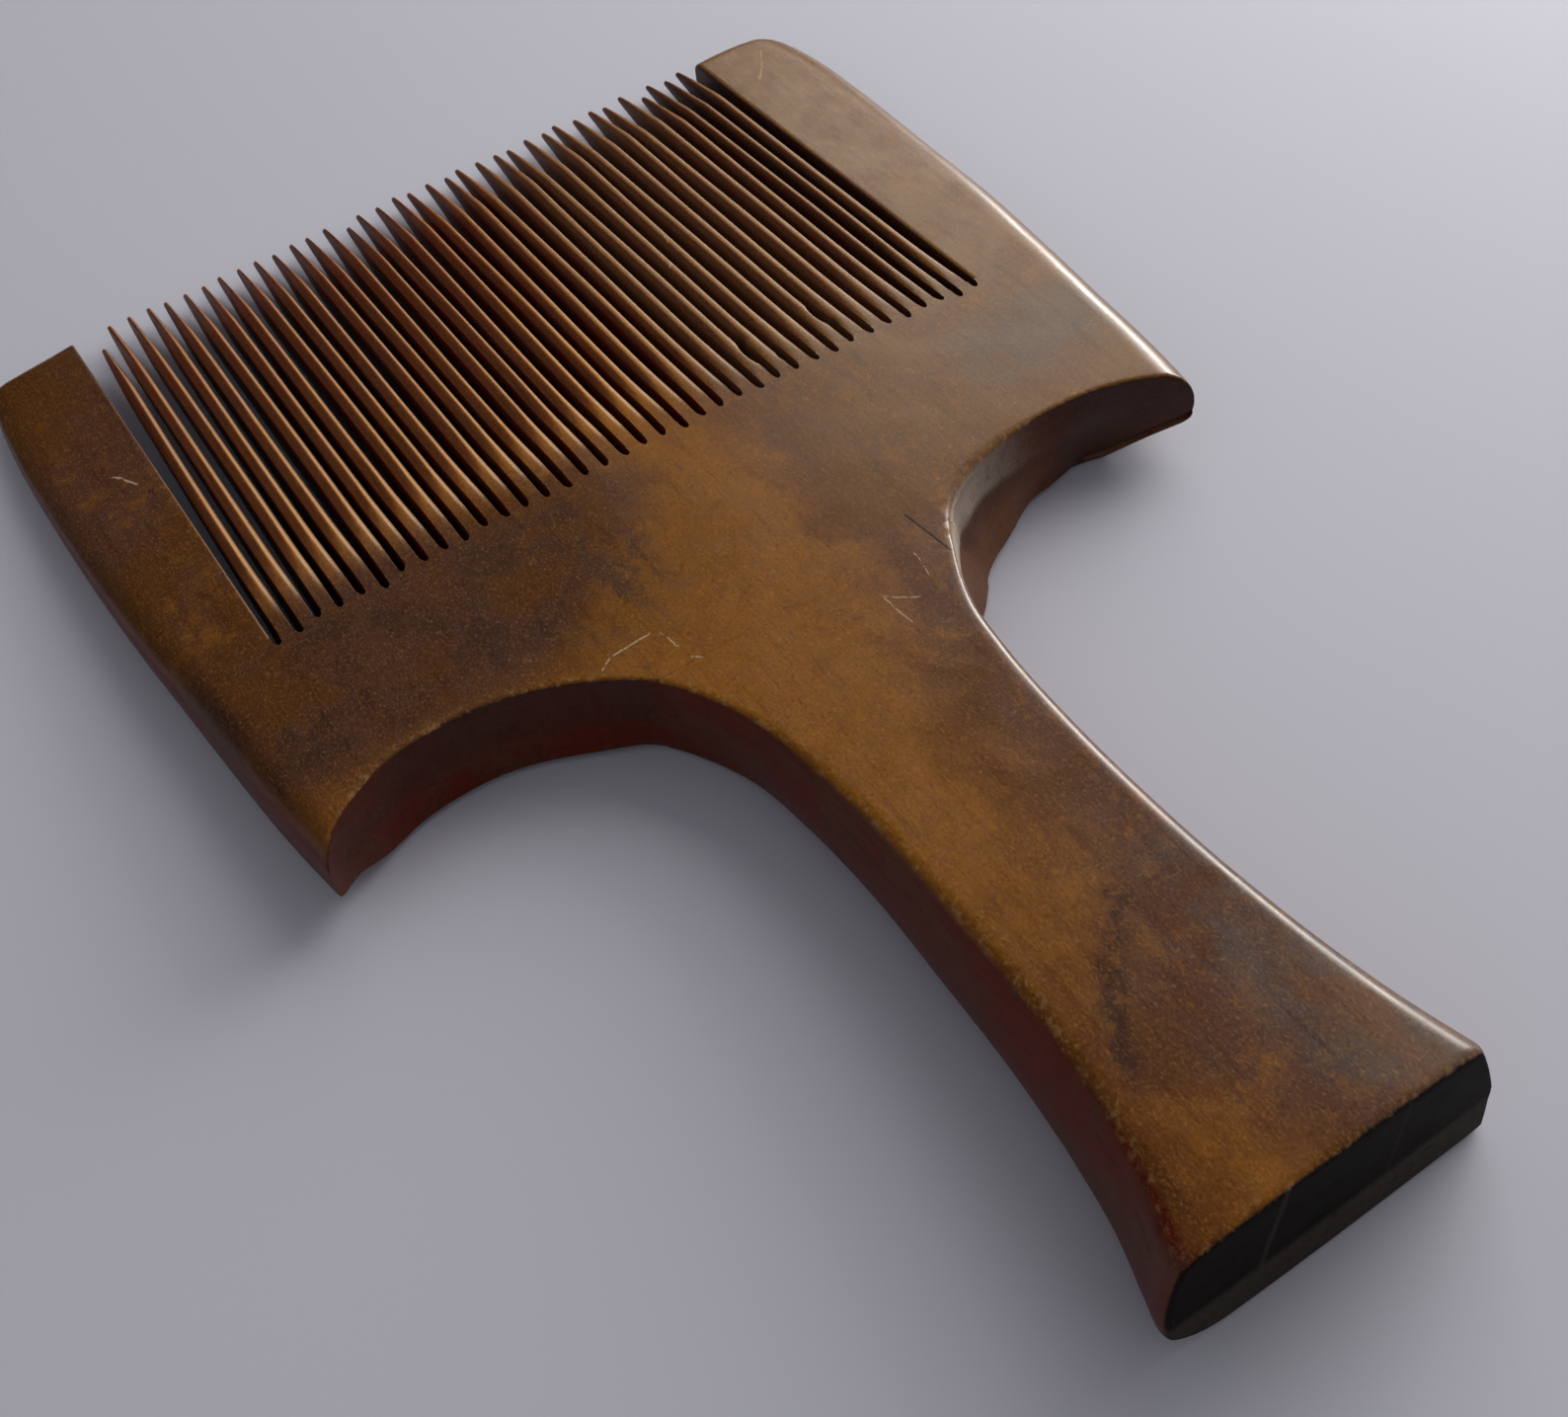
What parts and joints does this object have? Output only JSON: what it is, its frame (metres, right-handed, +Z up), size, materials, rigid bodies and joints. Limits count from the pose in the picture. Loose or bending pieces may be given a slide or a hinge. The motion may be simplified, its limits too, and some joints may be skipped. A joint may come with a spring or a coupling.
{
  "type": "handled wooden comb",
  "caption": "One-piece carved wooden comb: a broad, slightly arched row of fine sawn teeth between wide end guards, finger recesses and a waisted handle with a thick rounded butt.",
  "frame": {"origin": "middle of the bounding box at the flat lower face the comb lies on", "axes": "+X across the teeth to the right end guard, +Y along the handle towards the tooth tips, +Z up through the thickness"},
  "size_m": [0.1238, 0.179, 0.0188],
  "materials": {
    "back_wood": "worn satin, oil-darkened with purple-brown patches",
    "handle_wood": "polished by the hand, golden to dark brown, dark end grain at the butt",
    "guard_wood": "worn satin, pale rubbed outer edges",
    "tooth_wood": "sawn and filed, reddish brown sides with paler worn ridges"
  },
  "bodies": {
    "root": {"back": "back_wood", "handle": "handle_wood", "end_guard_left": "guard_wood", "end_guard_right": "guard_wood", "tooth_01": "tooth_wood", "tooth_02": "tooth_wood", "tooth_03": "tooth_wood", "tooth_04": "tooth_wood", "tooth_05": "tooth_wood", "tooth_06": "tooth_wood", "tooth_07": "tooth_wood", "tooth_08": "tooth_wood", "tooth_09": "tooth_wood", "tooth_10": "tooth_wood", "tooth_11": "tooth_wood", "tooth_12": "tooth_wood", "tooth_13": "tooth_wood", "tooth_14": "tooth_wood", "tooth_15": "tooth_wood", "tooth_16": "tooth_wood", "tooth_17": "tooth_wood", "tooth_18": "tooth_wood", "tooth_19": "tooth_wood", "tooth_20": "tooth_wood", "tooth_21": "tooth_wood", "tooth_22": "tooth_wood", "tooth_23": "tooth_wood", "tooth_24": "tooth_wood", "tooth_25": "tooth_wood", "tooth_26": "tooth_wood", "tooth_27": "tooth_wood", "tooth_28": "tooth_wood", "tooth_29": "tooth_wood", "tooth_30": "tooth_wood", "tooth_31": "tooth_wood", "tooth_32": "tooth_wood", "tooth_33": "tooth_wood", "tooth_34": "tooth_wood", "tooth_35": "tooth_wood", "tooth_36": "tooth_wood"}
  },
  "joints": []
}
